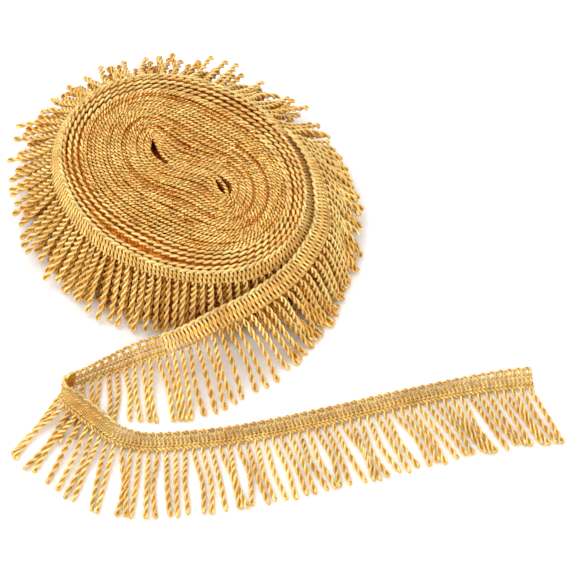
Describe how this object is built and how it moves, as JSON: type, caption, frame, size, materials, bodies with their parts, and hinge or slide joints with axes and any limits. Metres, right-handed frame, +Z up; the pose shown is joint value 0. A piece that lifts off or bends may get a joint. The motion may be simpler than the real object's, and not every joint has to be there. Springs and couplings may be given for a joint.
{
  "type": "bullion fringe trim",
  "caption": "Twisted-cord fringe with an openwork heading, wound heading up into an oval roll, its loose end folded over and laid out flat.",
  "frame": {"origin": "on the floor, under the middle of the roll's oval", "axes": "+Z up, away from the floor; +X to the right, the way the loose end runs out; -Y towards the front, where the loose end lies"},
  "size_m": [0.3463, 0.3397, 0.058],
  "materials": {
    "heading_yarn": "satin gold yarn, looped into an open braid",
    "strand_yarn": "satin gold yarn, two plies twisted into cord"
  },
  "bodies": {
    "root": {"roll": "heading_yarn", "loose_heading": "heading_yarn", "skirt_upper": "strand_yarn", "skirt_under": "strand_yarn", "loose_fringe_by_roll": "strand_yarn", "loose_fringe_front": "strand_yarn", "loose_fringe_turn": "strand_yarn", "loose_fringe_end": "strand_yarn"}
  },
  "joints": []
}
